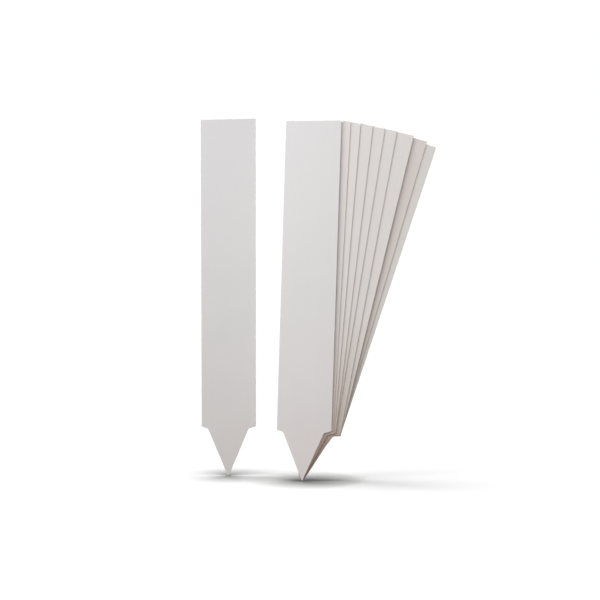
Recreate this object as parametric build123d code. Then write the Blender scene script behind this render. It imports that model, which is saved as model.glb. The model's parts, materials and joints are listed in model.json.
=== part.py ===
from build123d import *
import math
import os

# A set of ten push-in plant labels, each one flat piece cut from white rigid plastic sheet.
# Nine stand fanned out as one bundle, and one stands by itself.
# Millimetres, +Z up. The origin is the tip of the front label's point, at the middle of its thickness.

# Label
LABEL_LENGTH = 130.0
LABEL_WIDTH = 19.7
SHEET_THICKNESS = 0.4
TOP_CORNER_RADIUS = 0.3

# Shoulders and point. The blade's middle line lies a little to the right of the point's, because the cutter
# took the point off centre.
SHOULDER_HEIGHT = 18.1
SHOULDER_STEP = 2.5
SHOULDER_DROP = 0.8
SHOULDER_CORNER_RADIUS = 0.2
NOTCH_RADIUS = 0.9
POINT_RADIUS = 0.3
BLADE_OFFSET = 0.2

# Fan, from the front label to the rear one: lean to the right in degrees
FAN_LEAN_ANGLES = [1.77, 3.14, 4.79, 6.8, 9.0, 10.39, 13.47, 16.25, 18.11]

# Fan: how far each point stands to the right of the front label's point, and above it, in label widths
POINT_PLACE_SHARES = [0, 0.0125, 0.0035, 0.0025, -0.027, 0.0375, 0, -0.04, -0.05]
POINT_HEIGHT_SHARES = [0, 0.0045, -0.0275, -0.0075, 0.0065, -0.0015, 0.0065, 0.074, 0.1]

# Fan: what the cutter left on each label's end, in label widths. The skew is how much higher the right end of
# the top edge is than the left, and the trim is how much shorter the label is.
TOP_SKEW_SHARES = [0.045, 0.045, 0.04, 0.028, 0.0125, -0.02, 0, 0, -0.03]
TOP_TRIM_SHARES = [0, 0.0125, 0, 0.004, 0.0065, 0, 0, 0.0755, 0.121]

# Fan: air between each label and the one behind it, in sheet thicknesses
AIR_GAP_SHARES = [2.2, 0.15, 0.2, 0.15, 0.15, 0.2, 2.3, 0.2]

# Single label: its place from the front label's, how much lower its tip stands, and its own top skew
SINGLE_LEFT = 26.82
SINGLE_BACK = 13.0
SINGLE_DROP = 0.57
SINGLE_TOP_SKEW = 0.4


def notch_point():
    """The sharp inner corner where the shoulder meets the point, before it is rounded."""
    return LABEL_WIDTH / 2 - SHOULDER_STEP, SHOULDER_HEIGHT - SHOULDER_DROP


def point_half_angle():
    """The slope of the point's side from the centre line, from the notch tangent to the round end."""
    across, up = notch_point()
    to_centre = math.atan2(across, up - POINT_RADIUS)
    reach = math.hypot(across, up - POINT_RADIUS)
    return to_centre - math.asin(POINT_RADIUS / reach)


def round_corners(face, corners, radius):
    """The face with the corners nearest the given points rounded."""
    for corner in corners:
        nearest = face.vertices().sort_by_distance(corner)[0]
        face = fillet(nearest, radius)
    return face


def label_outline(top_skew, top_trim):
    """The label's outline as a face, its round end centred on the origin and its blade upwards."""
    left = BLADE_OFFSET - LABEL_WIDTH / 2
    right = BLADE_OFFSET + LABEL_WIDTH / 2
    top = LABEL_LENGTH - top_trim
    across, up = notch_point()
    apex = POINT_RADIUS - POINT_RADIUS / math.sin(point_half_angle())
    sharp = make_face(
        Polyline(
            (left, top - top_skew / 2),
            (right, top + top_skew / 2),
            (right, SHOULDER_HEIGHT),
            (across, up),
            (0, apex),
            (-across, up),
            (left, SHOULDER_HEIGHT),
            close=True,
        )
    )
    by_height = sharp.vertices().sort_by(Axis.Y)
    end = by_height[0]
    notches = by_height[1:3]
    shoulders = by_height[3:5]
    tops = by_height[5:]
    face = fillet(end, POINT_RADIUS)
    face = round_corners(face, notches, NOTCH_RADIUS)
    face = round_corners(face, shoulders, SHOULDER_CORNER_RADIUS)
    face = round_corners(face, tops, TOP_CORNER_RADIUS)
    return Pos(0, -POINT_RADIUS) * face


def label(place, depth, height, lean=0, top_skew=0, top_trim=0):
    """One label that leans to the right, its point's tip at the given place and height above the origin."""
    front = Plane.XZ.offset(SHEET_THICKNESS / 2)
    sheet = extrude(front * label_outline(top_skew, top_trim), -SHEET_THICKNESS)
    return Pos(place, depth, POINT_RADIUS + height) * Rot(0, lean, 0) * sheet


def fan_depths():
    """The depth of each fan label's middle, from the front label's."""
    depths = [0]
    for share in AIR_GAP_SHARES:
        depths.append(depths[-1] + SHEET_THICKNESS + share * SHEET_THICKNESS)
    return depths


def fan_labels():
    """The nine labels of the fan, front to rear, by node name."""
    places = [share * LABEL_WIDTH for share in POINT_PLACE_SHARES]
    heights = [share * LABEL_WIDTH for share in POINT_HEIGHT_SHARES]
    skews = [share * LABEL_WIDTH for share in TOP_SKEW_SHARES]
    trims = [share * LABEL_WIDTH for share in TOP_TRIM_SHARES]
    rows = zip(places, fan_depths(), heights, FAN_LEAN_ANGLES, skews, trims)
    made = {}
    for number, row in enumerate(rows, start=1):
        name = "front_label" if number == 1 else f"fan_label_{number}"
        made[name] = label(*row)
    return made


def single_label():
    """The label that stands by itself."""
    return label(-SINGLE_LEFT, SINGLE_BACK, -SINGLE_DROP, top_skew=SINGLE_TOP_SKEW)


os.makedirs("parts", exist_ok=True)
nodes = fan_labels()
nodes["single_label"] = single_label()
for name, shape in nodes.items():
    shape.label = name
    export_step(shape, f"parts/{name}.step")
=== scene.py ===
import json
import math

import bmesh
import bpy
from mathutils import Matrix, Vector


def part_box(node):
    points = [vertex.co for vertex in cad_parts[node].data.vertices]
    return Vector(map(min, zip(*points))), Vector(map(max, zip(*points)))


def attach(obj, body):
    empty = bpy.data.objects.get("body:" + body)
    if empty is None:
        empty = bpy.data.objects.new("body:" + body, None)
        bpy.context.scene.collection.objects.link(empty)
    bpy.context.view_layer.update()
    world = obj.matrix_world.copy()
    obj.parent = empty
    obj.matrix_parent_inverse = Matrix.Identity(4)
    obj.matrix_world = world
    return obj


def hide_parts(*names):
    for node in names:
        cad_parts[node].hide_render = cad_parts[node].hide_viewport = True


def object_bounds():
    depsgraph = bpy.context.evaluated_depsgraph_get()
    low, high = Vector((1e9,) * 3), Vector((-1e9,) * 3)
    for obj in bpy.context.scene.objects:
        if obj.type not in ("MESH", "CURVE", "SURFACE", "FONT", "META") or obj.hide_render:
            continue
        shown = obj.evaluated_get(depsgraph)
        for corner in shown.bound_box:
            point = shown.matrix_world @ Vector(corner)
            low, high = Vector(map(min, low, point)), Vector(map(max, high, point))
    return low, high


# The looks of ten push-in plant labels cut from white rigid plastic sheet, in metres.
# A label's own frame has its origin at the centre of its round end, +Z up its middle line,
# and -Y out of its front face.

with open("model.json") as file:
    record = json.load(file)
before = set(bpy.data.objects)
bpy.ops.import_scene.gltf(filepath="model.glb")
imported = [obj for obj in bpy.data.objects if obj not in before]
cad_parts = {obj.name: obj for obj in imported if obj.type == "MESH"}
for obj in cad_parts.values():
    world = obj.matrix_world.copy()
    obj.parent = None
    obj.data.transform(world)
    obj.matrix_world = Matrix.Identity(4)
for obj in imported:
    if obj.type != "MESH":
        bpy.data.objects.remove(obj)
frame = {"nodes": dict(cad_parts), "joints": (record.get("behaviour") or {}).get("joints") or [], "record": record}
cad_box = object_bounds()

# Label
LABEL_LENGTH = 0.130
TOP_CORNER_RADIUS = 0.0003
single_low, single_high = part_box("single_label")
LABEL_WIDTH = single_high.x - single_low.x
SHEET_THICKNESS = single_high.y - single_low.y

# Shoulders and point, which the cutter took a little off the blade's middle line
SHOULDER_HEIGHT = 0.0181
SHOULDER_STEP = 0.0025
SHOULDER_DROP = 0.0008
SHOULDER_CORNER_RADIUS = 0.0002
NOTCH_RADIUS = 0.0009
POINT_RADIUS = 0.0003
BLADE_OFFSET = 0.0002

# What the cutter left on each label's end, in label widths: how much higher the right end of the top edge is
# than the left, and how much shorter the label is
SINGLE_TOP_SKEW = 0.0004
TOP_CUT_SHARES = {
    "front_label": (0.045, 0),
    "fan_label_2": (0.045, 0.0125),
    "fan_label_3": (0.04, 0),
    "fan_label_4": (0.028, 0.004),
    "fan_label_5": (0.0125, 0.0065),
    "fan_label_6": (-0.02, 0),
    "fan_label_7": (0, 0),
    "fan_label_8": (0, 0.0755),
    "fan_label_9": (-0.03, 0.121),
    "single_label": (SINGLE_TOP_SKEW / LABEL_WIDTH, 0),
}

# Cut edges: the cutter rolls the front edge over and leaves the back edge sharper
FRONT_EDGE_RADIUS = 0.00008
BACK_EDGE_RADIUS = 0.00004

# Mesh fineness
ROUND_END_STEPS = 12
NOTCH_STEPS = 10
CORNER_STEPS = 6
EDGE_STEPS = 4
SIDE_ROWS = 28
COLUMNS = 6


def rounded_corner(before, corner, after, radius, steps):
    """The arc that rounds a corner of an outline, from the side before it to the side after it."""
    to_before = (before - corner).normalized()
    to_after = (after - corner).normalized()
    half = math.acos(to_before.dot(to_after)) / 2
    centre = corner + (to_before + to_after).normalized() * radius / math.sin(half)
    first = corner + to_before * radius / math.tan(half) - centre
    last = corner + to_after * radius / math.tan(half) - centre
    start = math.atan2(first.y, first.x)
    turn = math.atan2(first.x * last.y - first.y * last.x, first.dot(last))
    arc = []
    for step in range(steps + 1):
        angle = start + turn * step / steps
        arc.append(centre + radius * Vector((math.cos(angle), math.sin(angle))))
    return arc


def half_outline(blade_shift, top_here, top_there):
    """The outline's right half from the round end up to the top edge, as points across and up."""
    half_width = LABEL_WIDTH / 2
    notch = Vector((half_width - SHOULDER_STEP, SHOULDER_HEIGHT - SHOULDER_DROP - POINT_RADIUS))
    shoulder = Vector((blade_shift + half_width, SHOULDER_HEIGHT - POINT_RADIUS))
    top = Vector((blade_shift + half_width, top_here - POINT_RADIUS))
    other_top = Vector((blade_shift - half_width, top_there - POINT_RADIUS))
    point_angle = math.atan2(notch.x, notch.y) - math.asin(POINT_RADIUS / notch.length)
    points = []
    for step in range(1, ROUND_END_STEPS + 1):
        angle = -math.pi / 2 + (math.pi / 2 - point_angle) * step / ROUND_END_STEPS
        points.append(POINT_RADIUS * Vector((math.cos(angle), math.sin(angle))))
    side_foot = points[-1]
    points += rounded_corner(side_foot, notch, shoulder, NOTCH_RADIUS, NOTCH_STEPS)
    points += rounded_corner(notch, shoulder, top, SHOULDER_CORNER_RADIUS, CORNER_STEPS)
    top_arc = rounded_corner(shoulder, top, other_top, TOP_CORNER_RADIUS, CORNER_STEPS)
    side_start = points[-1]
    for row in range(1, SIDE_ROWS):
        points.append(side_start.lerp(top_arc[0], row / SIDE_ROWS))
    return points + top_arc


def closed_outline(top_skew, top_trim):
    """The whole outline from the tip up the right side, along the top and down the left side."""
    right_top = LABEL_LENGTH - top_trim + top_skew / 2
    left_top = LABEL_LENGTH - top_trim - top_skew / 2
    right = half_outline(BLADE_OFFSET, right_top, left_top)
    mirrored = half_outline(-BLADE_OFFSET, left_top, right_top)
    left = [Vector((-point.x, point.y)) for point in mirrored]
    top_edge = [right[-1].lerp(left[-1], column / COLUMNS) for column in range(1, COLUMNS)]
    tip = Vector((0, -POINT_RADIUS))
    return [tip] + right + top_edge + left[::-1]


def inward_normals(outline):
    """For each outline point, the step inwards that moves both sides beside it by one."""
    steps = []
    for index, point in enumerate(outline):
        back = (point - outline[index - 1]).normalized()
        forward = (outline[(index + 1) % len(outline)] - point).normalized()
        along = (back + forward).normalized()
        inward = Vector((-along.y, along.x))
        steps.append(inward / inward.dot(Vector((-back.y, back.x))))
    return steps


def edge_profile():
    """The cut edge's section from the front face to the back face, as insets and depths."""
    half = SHEET_THICKNESS / 2
    profile = []
    for step in range(EDGE_STEPS + 1):
        angle = math.pi / 2 * step / EDGE_STEPS
        inset = FRONT_EDGE_RADIUS * (1 - math.sin(angle))
        profile.append((inset, -half + FRONT_EDGE_RADIUS * (1 - math.cos(angle))))
    for step in range(EDGE_STEPS, -1, -1):
        angle = math.pi / 2 * step / EDGE_STEPS
        inset = BACK_EDGE_RADIUS * (1 - math.sin(angle))
        profile.append((inset, half - BACK_EDGE_RADIUS * (1 - math.cos(angle))))
    return profile


def fill_face(mesh, loop):
    """Fills a flat face with rungs from side to side, from the tip up to the top edge."""
    rows = (len(loop) - COLUMNS) // 2
    rungs = []
    for row in range(1, rows):
        right = loop[row]
        left = loop[-row]
        rung = [right]
        for column in range(1, COLUMNS):
            rung.append(mesh.verts.new(right.co.lerp(left.co, column / COLUMNS)))
        rungs.append(rung + [left])
    rungs.append(loop[rows:rows + COLUMNS + 1])
    faces = []
    for column in range(COLUMNS):
        faces.append((loop[0], rungs[0][column], rungs[0][column + 1]))
    for lower, upper in zip(rungs, rungs[1:]):
        for column in range(COLUMNS):
            faces.append((lower[column], upper[column], upper[column + 1], lower[column + 1]))
    for corners in faces:
        mesh.faces.new(corners)


def label_mesh(name, pose, top_cut_shares):
    """A label's mesh where it stands. It also carries its places in its own frame and marks its cut edges."""
    outline = closed_outline(*(share * LABEL_WIDTH for share in top_cut_shares))
    normals = inward_normals(outline)
    mesh = bmesh.new()
    cut_edge = mesh.verts.layers.float.new("cut_edge")
    own_place = mesh.verts.layers.float_vector.new("own_place")
    loops = []
    for inset, depth in edge_profile():
        loop = []
        for point, normal in zip(outline, normals):
            place = point + inset * normal
            loop.append(mesh.verts.new((place.x, depth, place.y)))
        loops.append(loop)
    for front, back in zip(loops, loops[1:]):
        for index in range(len(outline)):
            after = (index + 1) % len(outline)
            face = mesh.faces.new((front[index], front[after], back[after], back[index]))
            face.smooth = True
    rim = {vertex for loop in loops[1:-1] for vertex in loop}
    fill_face(mesh, loops[0])
    fill_face(mesh, loops[-1])
    bmesh.ops.recalc_face_normals(mesh, faces=mesh.faces)
    for vertex in mesh.verts:
        vertex[cut_edge] = float(vertex in rim)
        vertex[own_place] = vertex.co
        vertex.co = pose @ vertex.co
    data = bpy.data.meshes.new(name)
    mesh.to_mesh(data)
    mesh.free()
    return data


def label_poses():
    """Where each label's own frame lies, by node name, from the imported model's joints, mounts and meshes."""
    up = Vector((0, 0, POINT_RADIUS))
    mounts = {mount["name"]: Vector(mount["pos_m"]) for mount in frame["record"]["mounts"]}
    centres = {joint["child"]: Vector(joint["pos_m"]) for joint in frame["joints"] if "pos_m" in joint}
    centres["front_label"] = mounts["soil_point"] + up
    centres["single_label"] = mounts["single_soil_point"] + up
    poses = {}
    for node, centre in centres.items():
        offsets = [vertex.co - centre for vertex in frame["nodes"][node].data.vertices]
        reach = max(offset.length for offset in offsets)
        top_corners = [offset for offset in offsets if offset.length > reach - LABEL_WIDTH / 2]
        top = sum(top_corners, Vector()) / len(top_corners)
        lean = math.atan2(top.x, top.z) - math.atan2(BLADE_OFFSET, top.length)
        poses[node] = Matrix.Translation(centre) @ Matrix.Rotation(lean, 4, "Y")
    return poses


# Colours are linear
WHITE = (1.0, 1.0, 1.0)
BLACK = (0.0, 0.0, 0.0)

# Sheet: its colour and, as a share of it, how far patches differ and how dark streaks are
SHEET_COLOUR = (0.765, 0.750, 0.730)
PATCH_SPREAD = 0.012
STREAK_SHADE = (0.992, 0.992, 0.992)
PATCH_SIZE = (0.014, 0.014, 0.014)
STREAK_SIZE = (0.0012, 0.0012, 0.04)
SHEET_ROUGHNESS = (0.44, 0.54)
SHEET_SPECULAR = 0.4

# Cut edges, which the streaks run into
EDGE_COLOUR = (0.60, 0.57, 0.53)
EDGE_STREAK_GAIN = 1.12
EDGE_ROUGHNESS = 0.75

# Relief of the faces: slow waves and a fine grain
WAVE_SIZE = (0.03, 0.03, 0.03)
WAVE_DEPTH = 0.00002
GRAIN_SIZE = (0.00022, 0.00022, 0.00022)
GRAIN_DEPTH = 0.000004

# The part of a noise's range that is used, and how far apart two labels' places in the noise lie
NOISE_RANGE = (0.3, 0.7)
NOISE_STRIDE = (3.7, 1.3, 5.1)

# Tint of each label against the sheet's colour. The single label's darker tint is painted shade, and the warmer
# tints of the labels behind the front one are partly painted warm shade; label 8 is also a warmer sheet of its
# own.
LABEL_TINTS_AND_SHADES = {
    "single_label": (0.91, 0.91, 0.91),
    "front_label": (1.005, 1.0, 1.0),
    "fan_label_2": (1.02, 0.985, 0.95),
    "fan_label_3": (1.02, 0.99, 0.955),
    "fan_label_4": (1.01, 0.975, 0.945),
    "fan_label_5": (1.01, 0.98, 0.945),
    "fan_label_6": (1.005, 0.985, 0.95),
    "fan_label_7": (1.015, 0.99, 0.955),
    "fan_label_8": (0.955, 0.89, 0.83),
    "fan_label_9": (0.975, 0.96, 0.92),
}

# Painted shade over a label's colour from its shoulders down, where the fan's labels crowd together and shade one
# another, and the heights above the point between which it fades out
PAINTED_FOOT_SHADES = {
    "single_label": WHITE,
    "front_label": WHITE,
    "fan_label_2": (1.03, 0.98, 0.93),
    "fan_label_3": (1.01, 0.96, 0.91),
    "fan_label_4": (0.93, 0.88, 0.83),
    "fan_label_5": (0.83, 0.78, 0.735),
    "fan_label_6": (0.83, 0.78, 0.735),
    "fan_label_7": (0.83, 0.79, 0.75),
    "fan_label_8": (0.92, 0.87, 0.83),
    "fan_label_9": (0.86, 0.82, 0.78),
}
PAINTED_FOOT_SHADE_HEIGHTS = (0.022, 0.062)

# A second painted shade, over the points, which lie in shade inside the fan
PAINTED_POINT_SHADES = {
    "single_label": WHITE,
    "front_label": WHITE,
    "fan_label_2": (1.00, 0.94, 0.93),
    "fan_label_3": (0.89, 0.80, 0.79),
    "fan_label_4": (0.77, 0.67, 0.66),
    "fan_label_5": (0.77, 0.67, 0.66),
    "fan_label_6": (0.77, 0.67, 0.66),
    "fan_label_7": (0.77, 0.67, 0.66),
    "fan_label_8": (0.85, 0.79, 0.79),
    "fan_label_9": (0.92, 0.90, 0.91),
}
PAINTED_POINT_SHADE_HEIGHTS = (0.014, 0.020)


def node_tree(material):
    """The material's emptied node tree, and a Principled shader that is linked to its output."""
    material.use_nodes = True
    tree = material.node_tree
    tree.nodes.clear()
    output = tree.nodes.new("ShaderNodeOutputMaterial")
    shader = tree.nodes.new("ShaderNodeBsdfPrincipled")
    tree.links.new(shader.outputs["BSDF"], output.inputs["Surface"])
    return tree, shader


def attribute(tree, name, output):
    """A value or a vector that the mesh carries."""
    node = tree.nodes.new("ShaderNodeAttribute")
    node.attribute_name = name
    return node.outputs[output]


def noise(tree, coordinates, size, offset, detail):
    """A noise texture whose features have the given size across, through and along the label."""
    mapping = tree.nodes.new("ShaderNodeMapping")
    mapping.inputs["Location"].default_value = offset
    mapping.inputs["Scale"].default_value = [1 / side for side in size]
    tree.links.new(coordinates, mapping.inputs["Vector"])
    texture = tree.nodes.new("ShaderNodeTexNoise")
    texture.inputs["Scale"].default_value = 1.0
    texture.inputs["Detail"].default_value = detail
    tree.links.new(mapping.outputs["Vector"], texture.inputs["Vector"])
    return texture.outputs["Fac"]


def remap(tree, value, low, high, from_range=NOISE_RANGE):
    """The value moved from one range to another, held inside it."""
    node = tree.nodes.new("ShaderNodeMapRange")
    node.inputs["From Min"].default_value = from_range[0]
    node.inputs["From Max"].default_value = from_range[1]
    node.inputs["To Min"].default_value = low
    node.inputs["To Max"].default_value = high
    tree.links.new(value, node.inputs["Value"])
    return node.outputs["Result"]


def mix_colours(tree, factor, first, second, blend="MIX"):
    """A colour mix of two colours or sockets."""
    node = tree.nodes.new("ShaderNodeMix")
    node.data_type = "RGBA"
    node.blend_type = blend
    for name, value in (("Factor", factor), ("A", first), ("B", second)):
        socket = node.inputs[name]
        if isinstance(value, bpy.types.NodeSocket):
            tree.links.new(value, socket)
        elif isinstance(value, (int, float)):
            socket.default_value = value
        else:
            socket.default_value = (*value, 1.0)
    return node.outputs["Result"]


def math_node(tree, operation, first, second):
    """A product, a power or the greater of two values or sockets."""
    node = tree.nodes.new("ShaderNodeMath")
    node.operation = operation
    for socket, value in zip(node.inputs, (first, second)):
        if isinstance(value, bpy.types.NodeSocket):
            tree.links.new(value, socket)
        else:
            socket.default_value = value
    return node.outputs["Value"]


def painted_shade_below(tree, colour, coordinates, shade, heights):
    """The colour with the given painted shade over it below the lower height, fading out up to the upper one."""
    place = tree.nodes.new("ShaderNodeSeparateXYZ")
    tree.links.new(coordinates, place.inputs["Vector"])
    rise = remap(tree, place.outputs["Z"], 0.0, 1.0, heights)
    return mix_colours(tree, 1.0, colour, mix_colours(tree, rise, shade, WHITE), "MULTIPLY")


def bump(tree, height, depth, normal=None):
    """A bump of the given depth in metres."""
    node = tree.nodes.new("ShaderNodeBump")
    node.inputs["Strength"].default_value = 1.0
    node.inputs["Distance"].default_value = depth
    tree.links.new(height, node.inputs["Height"])
    if normal:
        tree.links.new(normal, node.inputs["Normal"])
    return node.outputs["Normal"]


def sheet_material(name, tint_and_shade, painted_foot_shade, painted_point_shade, number):
    """White calendered plastic sheet: faint patches and streaks, a fine satin grain and duller cut edges, with
    painted shade in its tint and over its foot and point.
    """
    material = bpy.data.materials.new(name)
    tree, shader = node_tree(material)
    coordinates = attribute(tree, "own_place", "Vector")
    offset = [number * stride for stride in NOISE_STRIDE]
    patches = noise(tree, coordinates, PATCH_SIZE, offset, detail=3.0)
    streaks = remap(tree, noise(tree, coordinates, STREAK_SIZE, offset, detail=3.0), 0.0, 1.0)
    grain = noise(tree, coordinates, GRAIN_SIZE, offset, detail=2.0)
    waves = noise(tree, coordinates, WAVE_SIZE, offset, detail=1.0)
    # The label's tint, partly painted shade
    base = [channel * share for channel, share in zip(SHEET_COLOUR, tint_and_shade)]
    darker = [channel * (1 - PATCH_SPREAD) for channel in base]
    lighter = [channel * (1 + PATCH_SPREAD) for channel in base]
    face = mix_colours(tree, remap(tree, patches, 0.0, 1.0), darker, lighter)
    face = mix_colours(tree, 1.0, face, mix_colours(tree, streaks, STREAK_SHADE, WHITE), "MULTIPLY")
    cut = attribute(tree, "cut_edge", "Fac")
    lighter_edge = [channel * EDGE_STREAK_GAIN for channel in EDGE_COLOUR]
    colour = mix_colours(tree, cut, face, mix_colours(tree, streaks, EDGE_COLOUR, lighter_edge))
    # Painted shade over the crowded feet of the fan's labels, then over the points inside the fan
    colour = painted_shade_below(tree, colour, coordinates, painted_foot_shade, PAINTED_FOOT_SHADE_HEIGHTS)
    colour = painted_shade_below(tree, colour, coordinates, painted_point_shade, PAINTED_POINT_SHADE_HEIGHTS)
    tree.links.new(colour, shader.inputs["Base Color"])
    satin = remap(tree, patches, *SHEET_ROUGHNESS)
    rough = math_node(tree, "MAXIMUM", satin, math_node(tree, "MULTIPLY", cut, EDGE_ROUGHNESS))
    tree.links.new(rough, shader.inputs["Roughness"])
    normal = bump(tree, waves, WAVE_DEPTH)
    normal = bump(tree, grain, GRAIN_DEPTH, normal)
    tree.links.new(normal, shader.inputs["Normal"])
    shader.inputs["Specular IOR Level"].default_value = SHEET_SPECULAR
    return material


def add_labels():
    """The ten labels, each riding on its own body in place of its plain solid."""
    pieces = []
    for number, (node, pose) in enumerate(sorted(label_poses().items())):
        name = f"{node}_sheet"
        piece = bpy.data.objects.new(name, label_mesh(name, pose, TOP_CUT_SHARES[node]))
        bpy.context.scene.collection.objects.link(piece)
        # Each label's tint, partly painted shade, and its two painted shades
        looks = (LABEL_TINTS_AND_SHADES[node], PAINTED_FOOT_SHADES[node], PAINTED_POINT_SHADES[node])
        piece.data.materials.append(sheet_material(f"white_sheet_{node}", *looks, number))
        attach(piece, node)
        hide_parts(node)
        pieces.append(piece)
    return pieces


# Floor: white to the camera, with a painted contact shade within the contact reach of a label. The light that it
# throws back is warm near the labels.
FLOOR_SIZE = 40.0
FLOOR_WHITE = (0.95, 0.95, 0.95)
FLOOR_GLOW = 0.13
FLOOR_BOUNCE = (0.24, 0.21, 0.19)
NEAR_FLOOR_BOUNCE = (0.34, 0.21, 0.145)
NEAR_FLOOR_REACH = 0.09
CONTACT_REACH = 0.020
CONTACT_POWER = 5.5
CONTACT_SAMPLES = 16
WORLD_AMBIENT = (0.14, 0.14, 0.14)


def seen_directly(tree):
    """One for what the camera, a reflection or a clear material sees, and zero for the light that spreads."""
    path = tree.nodes.new("ShaderNodeLightPath")
    seen = math_node(tree, "MAXIMUM", path.outputs["Is Camera Ray"], path.outputs["Is Glossy Ray"])
    return math_node(tree, "MAXIMUM", seen, path.outputs["Is Transmission Ray"])


def contact_shade(tree):
    """Painted contact shade: one out in the open, and less where a label stands close above."""
    node = tree.nodes.new("ShaderNodeAmbientOcclusion")
    node.samples = CONTACT_SAMPLES
    node.inputs["Distance"].default_value = CONTACT_REACH
    return math_node(tree, "POWER", node.outputs["AO"], CONTACT_POWER)


def bounce_colour(tree):
    """The floor's colour for the light that it throws back, by the distance from the front label's tip."""
    place = tree.nodes.new("ShaderNodeNewGeometry").outputs["Position"]
    length = tree.nodes.new("ShaderNodeVectorMath")
    length.operation = "LENGTH"
    tree.links.new(place, length.inputs["Vector"])
    near = remap(tree, length.outputs["Value"], 1.0, 0.0, (0.0, NEAR_FLOOR_REACH))
    return mix_colours(tree, near, FLOOR_BOUNCE, NEAR_FLOOR_BOUNCE)


def add_floor():
    """A white floor that keeps the labels' shadows."""
    mesh = bmesh.new()
    bmesh.ops.create_grid(mesh, x_segments=1, y_segments=1, size=FLOOR_SIZE / 2)
    data = bpy.data.meshes.new("floor")
    mesh.to_mesh(data)
    mesh.free()
    floor = bpy.data.objects.new("floor", data)
    floor.location.z = cad_box[0].z
    bpy.context.scene.collection.objects.link(floor)
    material = bpy.data.materials.new("white_floor")
    tree, shader = node_tree(material)
    seen = seen_directly(tree)
    # The seen floor's white, with a painted contact shade under the labels
    white = mix_colours(tree, contact_shade(tree), BLACK, FLOOR_WHITE)
    tree.links.new(mix_colours(tree, seen, bounce_colour(tree), white), shader.inputs["Base Color"])
    tree.links.new(math_node(tree, "MULTIPLY", seen, FLOOR_GLOW), shader.inputs["Emission Strength"])
    shader.inputs["Emission Color"].default_value = (*WHITE, 1.0)
    shader.inputs["Roughness"].default_value = 1.0
    shader.inputs["Specular IOR Level"].default_value = 0.0
    data.materials.append(material)


def add_world():
    """White behind the labels, and a weak even light on them."""
    world = bpy.data.worlds.new("studio")
    bpy.context.scene.world = world
    world.use_nodes = True
    tree = world.node_tree
    tree.nodes.clear()
    output = tree.nodes.new("ShaderNodeOutputWorld")
    background = tree.nodes.new("ShaderNodeBackground")
    colour = mix_colours(tree, seen_directly(tree), WORLD_AMBIENT, WHITE)
    tree.links.new(colour, background.inputs["Color"])
    background.inputs["Strength"].default_value = 1.0
    tree.links.new(background.outputs["Background"], output.inputs["Surface"])


# Lights: a wide overhead sun for the floor and its shadows, a cool panel in front of the labels' upper ends
# and to their left, and one behind them
OVERHEAD_STRENGTH = 2.6
OVERHEAD_SIZE = math.radians(28.0)
OVERHEAD_TURN = (0.0, math.radians(-11.0), 0.0)
KEY_PLACE = (-0.12, -0.28, 0.147)
KEY_AIM = (0.0, 0.0, 0.147)
KEY_SIZE = (0.50, 0.13)
KEY_POWER = 1.055
KEY_COLOUR = (0.935, 0.955, 1.0)
REAR_PLACE = (0.1, 0.70, 0.45)
REAR_AIM = (0.0, 0.0, 0.065)
REAR_SIZE = (1.0, 0.8)
REAR_POWER = 6.0
REAR_COLOUR = (0.85, 0.93, 1.0)


def add_overhead():
    """A wide soft lamp far above the labels and a little to their left."""
    lamp = bpy.data.lights.new("overhead", "SUN")
    lamp.energy = OVERHEAD_STRENGTH
    lamp.angle = OVERHEAD_SIZE
    obj = bpy.data.objects.new("overhead", lamp)
    obj.rotation_euler = OVERHEAD_TURN
    bpy.context.scene.collection.objects.link(obj)


def add_panel(name, place, aim, size, power, colour, lit):
    """A soft panel that faces a point of the labels and lights only the collection given."""
    lamp = bpy.data.lights.new(name, "AREA")
    lamp.shape = "RECTANGLE"
    lamp.size, lamp.size_y = size
    lamp.energy = power
    lamp.color = colour
    obj = bpy.data.objects.new(name, lamp)
    obj.location = place
    obj.rotation_euler = (Vector(aim) - Vector(place)).to_track_quat("-Z", "Y").to_euler()
    obj.visible_camera = False
    bpy.context.scene.collection.objects.link(obj)
    obj.light_linking.receiver_collection = lit


def add_lights(pieces):
    """The overhead lamp for everything, and the two panels for the labels alone."""
    lit = bpy.data.collections.new("lit_by_panels")
    for piece in pieces:
        lit.objects.link(piece)
    add_overhead()
    add_panel("key", KEY_PLACE, KEY_AIM, KEY_SIZE, KEY_POWER, KEY_COLOUR, lit)
    add_panel("rear", REAR_PLACE, REAR_AIM, REAR_SIZE, REAR_POWER, REAR_COLOUR, lit)


# Camera
CAMERA_PLACE = (-0.00076, -1.5002, 0.25685)
CAMERA_PITCH = math.radians(-7.27)
FOCAL_LENGTH = 252.88
SENSOR_WIDTH = 36.0


def add_camera():
    """The photograph's view: far in front of the labels and looking a little down."""
    lens = bpy.data.cameras.new("camera")
    lens.sensor_width = SENSOR_WIDTH
    lens.lens = FOCAL_LENGTH
    lens.clip_end = 2 * FLOOR_SIZE
    camera = bpy.data.objects.new("camera", lens)
    camera.location = CAMERA_PLACE
    camera.rotation_euler = (math.pi / 2 + CAMERA_PITCH, 0, 0)
    bpy.context.scene.collection.objects.link(camera)
    bpy.context.scene.camera = camera


def corners(box):
    """A box's two corners as plain lists."""
    return [list(corner) for corner in box]


add_floor()
add_world()
add_lights(add_labels())
add_camera()
bpy.context.scene.view_settings.view_transform = "Standard"
